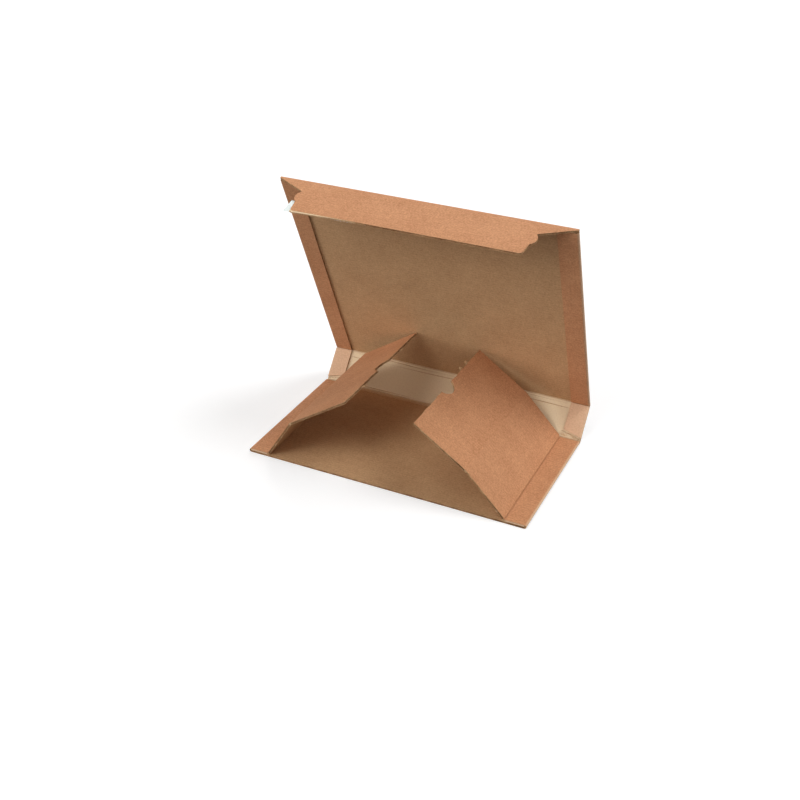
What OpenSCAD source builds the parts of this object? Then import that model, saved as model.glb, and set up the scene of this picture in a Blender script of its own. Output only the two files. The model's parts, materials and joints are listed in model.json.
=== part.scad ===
// Wrap-around corrugated mailer: base, spine, lid and closing flap with two folding inner flaps.
// Millimetres. X runs across the pack, Y from its front edge to the spine, Z up.
// The origin is the middle of the base's underside.

/* [Board] */
// Thickness of the corrugated board
board = 2; // [1.5:0.1:2.5]
// Clearance that each moving fold keeps round its rounded edge
fold_gap = 0.2; // [0.1:0.05:0.3]
// Depth of the scored lines pressed into the inner face
score_depth = 0.4; // [0.2:0.1:0.6]

/* [Base] */
// Width over the folded sides
pack_width = 290; // [240:1:360]
// Depth of the base from its front edge to the rear fold
base_depth = 161; // [130:1:220]
// Width of the side strips glued down on the base
base_strip = 21.5; // [16:0.5:28]
// Length by which those strips stop short of the rear fold
base_strip_setback = 4; // [3:0.5:8]

/* [Spine] */
// Length of the spine between its two folds
spine_length = 39; // [30:1:55]
// Angle of the spine above the table, leaning back
spine_angle = 51; // [40:1:60]
// Width of the side strips glued down on the spine and the lid
lid_strip = 19.5; // [15:0.5:26]
// Start of the spine's strips above the lower fold, at the outer side
spine_strip_start = 4; // [3:0.5:8]
// Rise of the slanted lower end of a spine strip towards its inner side
spine_strip_slant = 5; // [2:0.5:8]
// Distance of the scored lines' ends from the side strips
score_inset = 1; // [0.5:0.5:4]
// Distances of the spine's scored lines from the lower fold
spine_scores = [3, 31.8, 35.6]; // [3:0.1:36]

/* [Lid] */
// Length of the lid from the spine to the closing flap's fold
lid_length = 249; // [200:1:300]
// Gap between the leaning lid and the corner of the flap that carries it
lean_gap = 0.6; // [0.4:0.1:2]

/* [Closing flap] */
// Length of the closing flap from its fold to its free edge
closing_length = 46; // [42:1:60]
// Angle by which the closing flap is folded in from the lid
closing_fold = 80; // [60:1:95]
// Furthest angle by which the closing flap folds in
closing_tightest = 100; // [96:1:105]
// Distance of the waist from the pack's side
waist_inset = 32.5; // [26:0.5:40]
// Distance of the waist from the flap's fold
waist_reach = 17; // [14:0.5:20]
// Radius of the tongue that rounds out between each waist and its ear
tongue_radius = 10; // [8:0.5:12]
// Distance of the tongue's tip from the pack's side
tongue_inset = 29; // [26:0.5:31]
// Distance of the tongue's middle from the flap's fold
tongue_reach = 24; // [22:0.5:26]
// Distance from the flap's fold at which the tongue steps in to the ear
tongue_end = 31; // [28:0.5:33]
// Distance of the ears from the pack's side
ear_inset = 32.8; // [32:0.1:38]
// Taper of each ear from the tongue to its rounded corner
ear_taper = 1.7; // [1:0.1:5]
// Radius of the ears' corners
ear_radius = 4; // [2:0.5:6]

/* [Tapes] */
// Distance from the closing flap's fold to the middle of the tear tape
tear_line = 25; // [23:0.5:26]
// Width of the tear tape
tear_width = 3; // [2:0.5:4]
// Thickness of the tear tape
tear_thickness = 0.2; // [0.1:0.05:0.3]
// Width of the adhesive band
adhesive_width = 10; // [6:0.5:12]
// Thickness of the adhesive band
adhesive_thickness = 0.2; // [0.1:0.05:0.3]
// Width of the release liner over the adhesive
liner_width = 16; // [14:0.5:17]
// Thickness of the release liner
liner_thickness = 0.25; // [0.1:0.05:0.4]
// Distance of the release liner from the flap's free edge
liner_setback = 2; // [0.5:0.5:3]
// Length of liner that stands out past the left ear as a grip
liner_grip = 7.3; // [3:0.1:9]
// Length of liner that stands out past the right ear
liner_spare = 1.3; // [0.5:0.1:3]
// Distance of the tear tape's ends from the tongues' round edges
tear_margin = 0.6; // [0.2:0.1:2]

/* [Inner flaps] */
// Length of the left flap's riser from the strip to the crease
left_riser_length = 49; // [35:1:60]
// Angle of the left riser above the base
left_rise = 57.6; // [45:0.1:65]
// Angle by which the left top panel bends back down at the crease
left_bend = 24.4; // [10:0.1:30]
// Length of the right flap's riser from the strip to the crease
right_riser_length = 57; // [35:1:60]
// Angle of the right riser above the base
right_rise = 46.2; // [40:0.1:60]
// Angle by which the right top panel bends back down at the crease
right_bend = 11.9; // [5:0.1:25]
// Gap between the two free edges when both flaps lie flat
flap_parting = 5; // [2:0.5:10]
// Distance of the flaps' front edges from the front of the base
flap_front_gap = 0.5; // [0.5:0.5:4]
// Distance of the flaps' rear edges from the rear fold
flap_rear_gap = 2; // [2:0.5:6]
// Radius of the thumb notches
notch_radius = 12.5; // [9:0.5:16]
// Depth of the thumb notches
notch_depth = 9; // [5:0.5:12]
// Distance of the left flap's notch from the middle of the base
left_notch = 0; // [-20:1:20]
// Distance of the right flap's notch from the middle of the base
right_notch = -5; // [-20:1:20]
// Width of a torn bridge left on a cut edge
nick_width = 2.5; // [1.5:0.5:4]
// Length of a torn bridge
nick_reach = 1.8; // [0.5:0.1:2]
// Distances of the bridges on the left riser's front edge from the riser's fold
left_riser_nicks = [8, 16, 29]; // [3:1:32]
// Distances of the bridges on the right riser's front edge from the riser's fold
right_riser_nicks = [11]; // [3:1:32]
// Distances of the bridges on the left flap's free edge from the middle of the base
left_edge_nicks = [-45, 38]; // [-60:1:60]
// Distances of the bridges on the right flap's free edge from the middle of the base
right_edge_nicks = [34, 48]; // [-60:1:60]

/* [Hidden] */
$fn = 64;
over = 1;
half_board = board / 2;
folded_width = pack_width - 2 * board;
sheet_width = pack_width - half_board;
double_face = 3 * half_board;

flap_length = pack_width / 2 - base_strip - flap_parting / 2;
left_top_length = flap_length - left_riser_length;
right_top_length = flap_length - right_riser_length;
flap_front = -base_depth / 2 + flap_front_gap;
flap_rear = base_depth / 2 - flap_rear_gap;
flap_depth = flap_rear - flap_front;
hinge_height = board + half_board;

function corner_height(riser, rise, bend) =
    hinge_height + riser * sin(rise) + (flap_length - riser) * sin(rise - bend)
    + half_board * cos(rise - bend);

// The lid leans on the higher of the two flaps' rear corners.
carrier_height = max(
    corner_height(left_riser_length, left_rise, left_bend),
    corner_height(right_riser_length, right_rise, right_bend)
);
spine_top_y = base_depth / 2 + spine_length * cos(spine_angle);
spine_top_z = half_board + spine_length * sin(spine_angle);
carrier_dy = flap_rear - spine_top_y;
carrier_dz = carrier_height - spine_top_z;
carrier_distance = norm([carrier_dy, carrier_dz]);
lid_angle = atan2(carrier_dz, carrier_dy) - asin((half_board + lean_gap) / carrier_distance);
lid_fold = lid_angle - spine_angle;

strip_clearance = double_face * tan(lid_fold / 2) + fold_gap;
closing_clearance = (half_board - double_face * cos(closing_tightest)) / sin(closing_tightest) + fold_gap;

waist_x = pack_width / 2 - waist_inset;
tongue_x = pack_width / 2 - tongue_inset - tongue_radius;
ear_x = pack_width / 2 - ear_inset;
ear_end_x = ear_x - ear_taper;
tear_off = abs(tear_line - tongue_reach) + tear_width / 2;
tear_x = tongue_x + sqrt(pow(tongue_radius, 2) - pow(tear_off, 2)) - tear_margin;
liner_low = closing_length - liner_width - liner_setback;
adhesive_low = liner_low + (liner_width - adhesive_width) / 2;

kraft = [0.70, 0.48, 0.33];
kraft_shade = [0.60, 0.40, 0.26];
kraft_light = [0.76, 0.54, 0.38];
inner_tan = [0.74, 0.61, 0.46];
liner_white = [0.90, 0.94, 0.93];
glue_clear = [0.85, 0.82, 0.70];
tape_red = [0.82, 0.30, 0.16];

// A flat run of board across the pack, centred on its own mid-plane
module board_run(low, high, width) {
    translate([-width / 2, low, -half_board])
        cube([width, high - low, board]);
}

// The rounded edge that a board shows at a fold
module fold_nose(width) {
    rotate([0, 90, 0])
        cylinder(r = half_board, h = width, center = true);
}

// The room that the next board keeps clear for that edge, up to the tightest fold
module fold_room(width, tightest) {
    rotate([0, 90, 0])
        cylinder(r = half_board + fold_gap, h = width + 2 * over, center = true);
    rotate([-tightest, 0, 0])
        translate([-width / 2 - over, -4 * board, -half_board - fold_gap])
            cube([width + 2 * over, 4 * board, board + 2 * fold_gap]);
}

// One side folded over and glued down on the inner face
module side_strip(width, low, high, slant) {
    fold_x = pack_width / 2 - board;
    translate([fold_x, low, half_board])
        intersection() {
            rotate([-90, 0, 0])
                cylinder(r = board, h = high - low);
            translate([0, 0, -board])
                cube([board, high - low, 2 * board]);
        }
    translate([0, 0, half_board])
        linear_extrude(board)
            polygon([
                [fold_x, low],
                [fold_x, high],
                [pack_width / 2 - width, high],
                [pack_width / 2 - width, low + slant]
            ]);
}

// A panel with both sides folded in; past the strips' ends the sheet keeps its full width
module folded_panel(low, high, strip_width, strip_low, strip_high, slant = 0) {
    board_run(low, high, folded_width);
    if (strip_low > low)
        board_run(low, strip_low, sheet_width);
    board_run(strip_high, high, sheet_width);
    translate([0, high, 0])
        fold_nose(sheet_width);
    side_strip(strip_width, strip_low, strip_high, slant);
    mirror([1, 0, 0])
        side_strip(strip_width, strip_low, strip_high, slant);
}

// A line pressed into the inner face
module score(width) {
    translate([-width / 2, 0, half_board - score_depth])
        rotate([90, 0, 90])
            linear_extrude(width)
                polygon([
                    [0, 0],
                    [score_depth + over, score_depth + over],
                    [-score_depth - over, score_depth + over]
                ]);
}

module place_spine() {
    translate([0, base_depth / 2, half_board])
        rotate([spine_angle, 0, 0])
            children();
}

module place_lid() {
    place_spine()
        translate([0, spine_length, 0])
            rotate([lid_fold, 0, 0])
                children();
}

module place_closing_flap() {
    place_lid()
        translate([0, lid_length, 0])
            rotate([closing_fold, 0, 0])
                children();
}

module place_flap(rise) {
    translate([-pack_width / 2 + base_strip, 0, hinge_height])
        rotate([0, -rise, 0])
            children();
}

module place_top_panel(riser, rise, bend) {
    place_flap(rise)
        translate([riser, 0, 0])
            rotate([0, bend, 0])
                children();
}

// Turns a fold shape so that it lies along Y, as at the inner flaps
module along_flap() {
    translate([0, (flap_front + flap_rear) / 2, 0])
        rotate([0, 0, -90])
            children();
}

module flap_edge_nose() {
    translate([-pack_width / 2 + base_strip, 0, board])
        rotate([-90, 0, 0])
            translate([0, 0, -base_depth / 2])
                cylinder(r = half_board, h = base_depth - base_strip_setback);
}

module base() {
    color(kraft)
        translate([0, 0, half_board]) {
            folded_panel(
                -base_depth / 2, base_depth / 2,
                base_strip, -base_depth / 2, base_depth / 2 - base_strip_setback
            );
            flap_edge_nose();
            mirror([1, 0, 0])
                flap_edge_nose();
        }
}

module spine() {
    color(inner_tan)
        place_spine()
            difference() {
                folded_panel(
                    0, spine_length,
                    lid_strip, spine_strip_start, spine_length - strip_clearance, spine_strip_slant
                );
                fold_room(sheet_width, spine_angle);
                for (rise = spine_scores)
                    translate([0, rise, 0])
                        score(pack_width - 2 * lid_strip - 2 * score_inset);
            }
}

module lid() {
    color(kraft_shade)
        place_lid()
            difference() {
                folded_panel(
                    0, lid_length,
                    lid_strip, strip_clearance, lid_length - closing_clearance
                );
                fold_room(sheet_width, lid_fold);
            }
}

// Half of the closing flap's cut: a slanted side down to the waist, the tongue and the ear
module closing_half() {
    polygon([
        [0, 0],
        [sheet_width / 2, 0],
        [waist_x, waist_reach],
        [tongue_x, waist_reach],
        [tongue_x, tongue_end],
        [ear_x, tongue_end],
        [ear_end_x, closing_length - ear_radius],
        [ear_end_x - ear_radius, closing_length],
        [0, closing_length]
    ]);
    intersection() {
        translate([tongue_x, tongue_reach])
            circle(r = tongue_radius);
        translate([0, waist_reach])
            square([pack_width / 2, tongue_end - waist_reach]);
    }
    translate([ear_end_x - ear_radius, closing_length - ear_radius])
        circle(r = ear_radius);
}

module closing_flap() {
    color(kraft_light)
        place_closing_flap()
            difference() {
                translate([0, 0, -half_board])
                    linear_extrude(board) {
                        closing_half();
                        mirror([1, 0])
                            closing_half();
                    }
                fold_room(sheet_width, closing_tightest);
            }
}

module tear_tape() {
    color(tape_red)
        place_closing_flap()
            translate([-tear_x, tear_line - tear_width / 2, half_board])
                cube([2 * tear_x, tear_width, tear_thickness]);
}

module adhesive_band() {
    color(glue_clear)
        place_closing_flap()
            translate([-ear_end_x + ear_radius, adhesive_low, half_board])
                cube([2 * (ear_end_x - ear_radius), adhesive_width, adhesive_thickness]);
}

module release_liner() {
    color(liner_white)
        place_closing_flap()
            translate([-ear_x - liner_grip, liner_low, half_board + adhesive_thickness])
                cube([2 * ear_x + liner_grip + liner_spare, liner_width, liner_thickness]);
}

// A short bridge of board left where the flap was torn out of the sheet
module nick(reach) {
    translate([0, -nick_width / 2, -half_board])
        cube([reach, nick_width, half_board]);
}

// The part of an inner flap between the glued strip and the crease
module riser(riser_length, rise, nicks) {
    for (x = nicks)
        translate([x, flap_front, 0])
            rotate([0, 0, -90])
                nick(flap_front_gap);
    difference() {
        union() {
            translate([0, flap_front, -half_board])
                cube([riser_length, flap_depth, board]);
            translate([riser_length, 0, 0])
                along_flap()
                    fold_nose(flap_depth);
        }
        along_flap()
            fold_room(flap_depth, rise);
    }
}

// The part of an inner flap from the crease to its free edge
module top_panel(length, bend, notch, nicks) {
    difference() {
        translate([0, flap_front, -half_board])
            cube([length, flap_depth, board]);
        along_flap()
            fold_room(flap_depth, -bend);
        translate([length + notch_radius - notch_depth, notch, -half_board - over])
            cylinder(r = notch_radius, h = board + 2 * over);
    }
    for (y = nicks)
        translate([length, y, 0])
            nick(nick_reach);
}

module left_riser() {
    color(kraft_shade)
        place_flap(left_rise)
            riser(left_riser_length, left_rise, left_riser_nicks);
}

module left_top_panel() {
    color(kraft)
        place_top_panel(left_riser_length, left_rise, left_bend)
            top_panel(left_top_length, left_bend, left_notch, left_edge_nicks);
}

module right_riser() {
    color(kraft_light)
        mirror([1, 0, 0])
            place_flap(right_rise)
                riser(right_riser_length, right_rise, right_riser_nicks);
}

module right_top_panel() {
    color(kraft_light)
        mirror([1, 0, 0])
            place_top_panel(right_riser_length, right_rise, right_bend)
                top_panel(right_top_length, right_bend, right_notch, right_edge_nicks);
}

base();
spine();
lid();
closing_flap();
left_riser();
left_top_panel();
right_riser();
right_top_panel();
tear_tape();
adhesive_band();
release_liner();
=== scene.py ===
"""Dresses the wrap-around mailer: board, folds, cut edges, tapes, finishes, floor, light and camera.

Lengths are millimetres until a piece is put in its place, which turns them into metres.
On each panel X runs along the flutes and Y across them.
"""

import json
import math
import random

import bmesh
import bpy
from mathutils import Matrix, Vector
from mathutils.geometry import delaunay_2d_cdt, tessellate_polygon


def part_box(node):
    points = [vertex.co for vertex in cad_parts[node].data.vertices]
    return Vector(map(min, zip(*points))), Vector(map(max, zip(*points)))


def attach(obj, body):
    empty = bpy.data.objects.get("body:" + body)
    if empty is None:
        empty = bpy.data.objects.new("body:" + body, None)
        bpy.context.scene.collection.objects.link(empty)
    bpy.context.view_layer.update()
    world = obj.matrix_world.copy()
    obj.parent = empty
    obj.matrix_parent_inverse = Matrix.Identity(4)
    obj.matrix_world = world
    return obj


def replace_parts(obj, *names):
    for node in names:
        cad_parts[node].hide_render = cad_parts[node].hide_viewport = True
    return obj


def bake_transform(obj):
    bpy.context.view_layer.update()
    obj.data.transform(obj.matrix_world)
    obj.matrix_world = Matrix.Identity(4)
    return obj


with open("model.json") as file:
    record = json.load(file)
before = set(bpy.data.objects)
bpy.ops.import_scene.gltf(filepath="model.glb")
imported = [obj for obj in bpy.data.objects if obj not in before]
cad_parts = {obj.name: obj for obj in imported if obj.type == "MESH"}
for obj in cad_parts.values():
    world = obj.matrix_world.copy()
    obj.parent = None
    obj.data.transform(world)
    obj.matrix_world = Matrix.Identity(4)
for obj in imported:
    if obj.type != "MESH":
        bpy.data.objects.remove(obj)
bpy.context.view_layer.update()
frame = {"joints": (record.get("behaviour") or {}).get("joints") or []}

MM = 0.001
SEED = 7

# The board: two liners with a fluted sheet between them. Its cut fluting stands back from the edge.
HALF_BOARD = 1.0
LINER = 0.3
FLUTE_PITCH = 3.4
FLUTE_STEPS = 10
FLUTE_PAPER = 0.22
FLUTE_BITE = 0.05
CORE_SHORT = 0.5
CORE_UNEVEN = 0.4
CORE_GAP = 0.05
PRESSED_WEAR = 0.8

# Folds
FOLD_REACH = 1.5
FOLD_ARC_STEPS = 6
FOLD_SEGMENT = 9.0
VALLEY_DEPTH = 0.35
VALLEY_LIP = 0.25
VALLEY_UNEVEN = 0.12
# A fold's lips take this share of its inside level: paler paper on most folds, painted shade on the flaps'
# folds.
LIP_WEAR_AND_PAINTED_SHADE = 0.9
WRAP_STEPS = 10
WRAP_WEAR_POWER = 1.5

# Cut edges
TOOTH = 1.7
TOOTH_DEPTH = 0.4
TOOTH_SHIFT = 0.3
LOW_TOOTH = 0.2
NICK_WIDTH = 3.2
NICK_REACH = 3.0
TUFT_ROOT = 1.6
TUFT_TOP = 0.1
TUFT_LIFT = 0.05
TUFT_JAGS = (-0.5, -0.3, -0.05, 0.15, 0.35, 0.5)
TUFT_TIP = -0.05
RIP_SHORT = 5.0
RIP_LONG = 12.0
LEFT_RIP = 1.3
RIGHT_RIP = 0.5
SAME_PLACE = 0.00001
FOLD_SLACK = 0.01

# Sizes that the joints of the frame don't give
LID_STRIP = 19.5
BASE_STRIP_SETBACK = 4.0
SPINE_STRIP_START = 4.0
SPINE_STRIP_SLANT = 5.0
LID_STRIP_GAP = 2.1
CLOSING_STRIP_GAP = 1.8
CLOSING_LENGTH = 46.0
WAIST_INSET = 32.5
WAIST_REACH = 17.0
TONGUE_INSET = 29.0
TONGUE_REACH = 24.0
TONGUE_RADIUS = 10.0
TONGUE_STEP = 31.0
EAR_INSET = 32.8
EAR_TAPER = 1.7
EAR_RADIUS = 4.0
LINER_SETBACK = 2.0
LINER_WIDTH = 16.0
LINER_GRIP = 6.7
LINER_SPARE = 1.3
LINER_THICKNESS = 0.12
LINER_SLANT = 0.8
LINER_COLUMN = 10
RELEASE_STEP = 1.5
RELEASE_CUT = 4.0
FRAY_INSET = 2.0
FRAY_LENGTH = 75.0
FRAY_REACH = 1.9
FRAY_ROOT = 2.0
FRAY_TIP = 3.0
FRAY_UNDER = -0.6
FRAY_OVER = 0.7
TEAR_LINE = 25.0
TEAR_WIDTH = 3.0
TEAR_HALF = 115.0
FILM_THICKNESS = 0.12
ADHESIVE_THICKNESS = 0.2
CURL_STEP = 1.5
CURL_STEPS = 12
CURL = 1.7
CURL_LOW = 0.6
FLAP_PARTING = 5.0
FLAP_FRONT_GAP = 0.5
FLAP_REAR_GAP = 2.0
NOTCH_RADIUS = 12.5
NOTCH_DEPTH = 9.0
LEFT_NOTCH = 0.0
RIGHT_NOTCH = -5.0
LEFT_RISER_NICKS = [8.0, 16.0, 29.0]
RIGHT_RISER_NICKS = [11.0]
LEFT_EDGE_NICKS = [-45.0, 38.0]
RIGHT_EDGE_NICKS = [34.0, 48.0]
SCORES = [3.0, 31.8, 35.6]
SCORE_DEPTH = 0.5
SCORE_HALF_WIDTH = 0.6
SCORE_FADE = 4.0
SCORE_COLUMN = 8
SCORE_COLUMNS = 17
SCORE_ROW = 0.35
SCORE_ROWS = 4
WRINKLE_BELOW = 1.7
WRINKLE_SHARE = 0.75
WRINKLE_COLUMN = 3.0
WRINKLE_COLUMNS = 7
WRINKLE_ROW = 0.3
REAR_RUB = 7.0
REAR_RUB_WEAR = 0.9
REAR_RUB_COLUMNS = range(-110, 111, 20)

# The stage. Each lamp has its name, azimuth and height in degrees, and energy.
FLOOR_HALF = 9.0
FLOOR_BELOW = 0.2
FLOOR_FOR_LIGHT = 0.08
FLOOR_FOR_EYE = 0.62
FLOOR_GLOW = 0.5
SURROUND_FOR_LIGHT = 0.03
LAMP_SPREAD = 30
LAMPS = [
    ("main_lamp", 110, 60, 1.4),
    ("low_right_lamp", 105, 12, 0.75),
    ("right_lamp", 60, 35, 0.15),
    ("low_front_lamp", 20, 12, 0.45),
    ("front_lamp", -20, 35, 0.7),
    ("high_front_lamp", -20, 60, 0.45),
    ("low_left_lamp", -50, 12, 1.05),
    ("rear_lamp", 195, 25, 1.2),
]

# The camera, in millimetres and degrees
CAMERA_PLACE = (385.8, -870.6, 609.6)
CAMERA_AIM = (-54.96, 77.2, 0)
CAMERA_ROLL = 0.8235
LENS = 50.82
SENSOR = 36

HINGES = {j["name"]: Vector(j["pos_m"]) / MM for j in frame["joints"]}
RANGES = {j["name"]: j["range_deg"] for j in frame["joints"]}
PACK_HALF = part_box("base")[1].x / MM
FOLD_X = PACK_HALF - 2 * HALF_BOARD
SHEET_HALF = PACK_HALF - HALF_BOARD / 2
BASE_HALF = HINGES["spine_fold"].y
STRIP_X = HINGES["right_flap_fold"].x
FLAP_LENGTH = STRIP_X - FLAP_PARTING / 2
FLAP_FRONT = FLAP_FRONT_GAP - BASE_HALF
FLAP_REAR = BASE_HALF - FLAP_REAR_GAP

X = Vector((1, 0, 0))
Y = Vector((0, 1, 0))
Z = Vector((0, 0, 1))


def colour(red, green, blue):
    """A colour as an eye sees it on a screen, from 0 to 255, as the linear colour that shaders take."""
    def linear(value):
        value /= 255
        return value / 12.92 if value <= 0.04045 else ((value + 0.055) / 1.055) ** 2.4
    return (linear(red), linear(green), linear(blue), 1.0)


class Panel:
    """One flat run of board: its body, its place, and the side that its brown liner is on."""

    def __init__(self, body, origin, along_flutes, across_flutes, brown_side):
        self.body = body
        self.origin = origin
        self.x = along_flutes
        self.y = across_flutes
        self.z = along_flutes.cross(across_flutes)
        self.brown_side = brown_side

    def place(self, point):
        return (self.origin + self.x * point[0] + self.y * point[1] + self.z * point[2]) * MM


def turned(direction, axis, degrees):
    return Matrix.Rotation(math.radians(degrees), 3, axis) @ direction


def towards(start, end):
    """The way from one fold's line to another's."""
    return (HINGES[end] - HINGES[start]).normalized()


SPINE_UP = towards("spine_fold", "lid_fold")
LID_UP = towards("lid_fold", "closing_flap_fold")
CLOSING_OUT = turned(LID_UP, X, -RANGES["closing_flap_fold"][0])
SPINE_LENGTH = (HINGES["lid_fold"] - HINGES["spine_fold"]).length
LID_LENGTH = (HINGES["closing_flap_fold"] - HINGES["lid_fold"]).length

BASE = Panel("base", Vector((0, 0, HALF_BOARD)), X, Y, -1)
SPINE = Panel("spine", HINGES["spine_fold"], X, SPINE_UP, -1)
LID = Panel("lid", HINGES["lid_fold"], X, LID_UP, -1)
CLOSING = Panel("closing_flap", HINGES["closing_flap_fold"], X, CLOSING_OUT, -1)


def flap_panels(side, inward):
    """The riser and the top panel of one inner flap, with the riser's length."""
    up = towards(f"{side}_flap_fold", f"{side}_flap_crease")
    axis = Y * -inward.x
    out = turned(up, axis, -RANGES[f"{side}_flap_crease"][1])
    riser = Panel(f"{side}_riser", HINGES[f"{side}_flap_fold"], up, Y * inward.x, 1)
    top = Panel(f"{side}_top_panel", HINGES[f"{side}_flap_crease"], out, Y * inward.x, 1)
    length = (HINGES[f"{side}_flap_crease"] - HINGES[f"{side}_flap_fold"]).length
    return riser, top, length


LEFT_RISER, LEFT_TOP, LEFT_RISER_LENGTH = flap_panels("left", X)
RIGHT_RISER, RIGHT_TOP, RIGHT_RISER_LENGTH = flap_panels("right", -X)


class Node:
    """Builds a node of a shader or geometry tree and links what is given for its sockets."""

    def __init__(self, tree):
        self.tree = tree

    def __call__(self, kind, inputs=None, **settings):
        node = self.tree.nodes.new(kind)
        for name, value in settings.items():
            setattr(node, name, value)
        for key, value in (inputs or {}).items():
            if isinstance(value, bpy.types.NodeSocket):
                self.tree.links.new(value, node.inputs[key])
            else:
                node.inputs[key].default_value = value
        return node

    def maths(self, operation, *values):
        return self("ShaderNodeMath", dict(enumerate(values)), operation=operation).outputs[0]

    def ranged(self, value, low, high, start=0.0, end=1.0):
        """The value stretched so that low becomes start and high becomes end, and held between them."""
        inputs = {"Value": value, "From Min": low, "From Max": high, "To Min": start, "To Max": end}
        return self("ShaderNodeMapRange", inputs).outputs[0]

    def noise(self, place, scale, detail, roughness=0.5):
        inputs = {"Vector": place, "Scale": scale, "Detail": detail, "Roughness": roughness}
        return self("ShaderNodeTexNoise", inputs).outputs[0]

    def link(self, value, shader_node, socket):
        self.tree.links.new(value, shader_node.inputs[socket])

    def total(self, *parts):
        """The sum of some values, each with its own weight."""
        result = 0.0
        for value, weight in parts:
            result = self.maths("MULTIPLY_ADD", value, weight, result)
        return result

    def mix(self, factor, first, second):
        node = self("ShaderNodeMix", data_type="RGBA")
        for key, value in ((0, factor), (6, first), (7, second)):
            if isinstance(value, bpy.types.NodeSocket):
                self.tree.links.new(value, node.inputs[key])
            else:
                node.inputs[key].default_value = value
        return node.outputs[2]


def shader(name):
    """A new material with its Principled shader and a builder for more nodes."""
    material = bpy.data.materials.new(name)
    material.use_nodes = True
    return material, material.node_tree.nodes["Principled BSDF"], Node(material.node_tree)


def stretched_noise(node, coordinates, turn, squeeze, scale):
    """Noise drawn out to short strands, as paper fibres lie."""
    turned_map = node("ShaderNodeMapping", {
        "Vector": coordinates, "Rotation": (0, 0, turn), "Scale": (1, squeeze, 1)})
    return node.noise(turned_map.outputs[0], scale, 2.0)


def liner_paper(name, pale, deep, worn, washboard):
    """Kraft paper: clouds, mottling, fibres, a faint print-through of the flutes, pale scuffed folds, and
    painted shade in creases.
    """
    material, skin, node = shader(name)
    coordinates = node("ShaderNodeUVMap", uv_map="sheet").outputs[0]
    cloud = node.noise(coordinates, 3.0, 2.0)
    mottle = node.noise(coordinates, 18.0, 3.0)
    grain = node.noise(coordinates, 55.0, 4.0, 0.75)
    strands = node.maths(
        "ADD",
        stretched_noise(node, coordinates, 0.5, 4.0, 70.0),
        stretched_noise(node, coordinates, -0.8, 4.0, 85.0),
    )
    across = node("ShaderNodeSeparateXYZ", {0: coordinates}).outputs[1]
    ridge = node.maths("SINE", node.maths("MULTIPLY", across, 2 * math.pi * 100 / FLUTE_PITCH))
    tone = node.total((cloud, 0.5), (mottle, 0.5), (grain, 2.2), (strands, 0.05), (ridge, washboard))
    paper = node.mix(node.ranged(tone, 1.25, 2.05), deep, pale)
    # A per-point level: above 0 pales the paper, which is scuffing and on the spine also a painted highlight;
    # below 0 is painted shade.
    rubbed_and_painted_light = node("ShaderNodeAttribute", attribute_name="worn").outputs["Fac"]
    patchy = node.ranged(grain, 0.35, 0.65, 0.75, 1.0)
    pale_share = node.maths("MAXIMUM", node.maths("MULTIPLY", rubbed_and_painted_light, patchy), 0.0)
    paper = node.mix(pale_share, paper, worn)
    # Painted shade: below 0 the paper darkens towards half its deep colour, as a crease in shadow.
    painted_crease_shade = node.ranged(rubbed_and_painted_light, 0.0, -1.0, 0.0, 0.6)
    paper = node.mix(painted_crease_shade, paper, [0.5 * c for c in deep[:3]] + [1.0])
    node.link(paper, skin, "Base Color")
    node.link(node.ranged(grain, 0.3, 0.7, 0.72, 0.9), skin, "Roughness")
    skin.inputs["Specular IOR Level"].default_value = 0.22
    waves = node("ShaderNodeBump", {"Height": cloud, "Strength": 1.0, "Distance": 0.0012})
    height = node.total((strands, 0.1), (ridge, washboard), (grain, 0.6))
    bump = node("ShaderNodeBump", {
        "Height": height, "Strength": 0.5, "Distance": 0.00008, "Normal": waves.outputs[0]})
    node.link(bump.outputs[0], skin, "Normal")
    return material


def raw_paper(name, pale, deep):
    """The unfinished inside of the paper, as cut edges and the fluted sheet show it."""
    material, skin, node = shader(name)
    place = node("ShaderNodeTexCoord").outputs["Object"]
    grain = node.noise(place, 900.0, 4.0, 0.7)
    patches = node.noise(place, 120.0, 2.0)
    share = node.ranged(node.maths("ADD", grain, patches), 0.75, 1.25)
    node.link(node.mix(share, deep, pale), skin, "Base Color")
    node.link(node.ranged(grain, 0.0, 1.0, 0.8, 0.98), skin, "Roughness")
    skin.inputs["Specular IOR Level"].default_value = 0.15
    bump = node("ShaderNodeBump", {"Height": grain, "Strength": 0.5, "Distance": 0.0001})
    node.link(bump.outputs[0], skin, "Normal")
    return material


def smooth_strip(name, pale, deep, shine, scale, squeeze):
    """A coated strip: streaks along its length, a patchy gloss and a faint ripple."""
    material, skin, node = shader(name)
    coordinates = node("ShaderNodeUVMap", uv_map="sheet").outputs[0]
    streaks = stretched_noise(node, coordinates, 0.0, squeeze, scale)
    flecks = node.noise(coordinates, 90.0, 4.0)
    tone = node.total((streaks, 0.6), (flecks, 0.4))
    node.link(node.mix(node.ranged(tone, 0.35, 0.65), deep, pale), skin, "Base Color")
    node.link(node.ranged(flecks, 0.0, 1.0, shine, shine + 0.2), skin, "Roughness")
    bump = node("ShaderNodeBump", {"Height": tone, "Strength": 0.4, "Distance": 0.0001})
    node.link(bump.outputs[0], skin, "Normal")
    return material


def hot_melt_glue():
    """Clear tacky glue, slightly lumpy."""
    material, skin, node = shader("hot_melt_glue")
    place = node("ShaderNodeTexCoord").outputs["Object"]
    lumps = node.noise(place, 350.0, 2.0)
    node.link(node.mix(lumps, colour(206, 190, 150), colour(228, 216, 180)), skin, "Base Color")
    node.link(node.ranged(lumps, 0.0, 1.0, 0.15, 0.4), skin, "Roughness")
    bump = node("ShaderNodeBump", {"Height": lumps, "Strength": 0.6, "Distance": 0.0002})
    node.link(bump.outputs[0], skin, "Normal")
    return material


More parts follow.
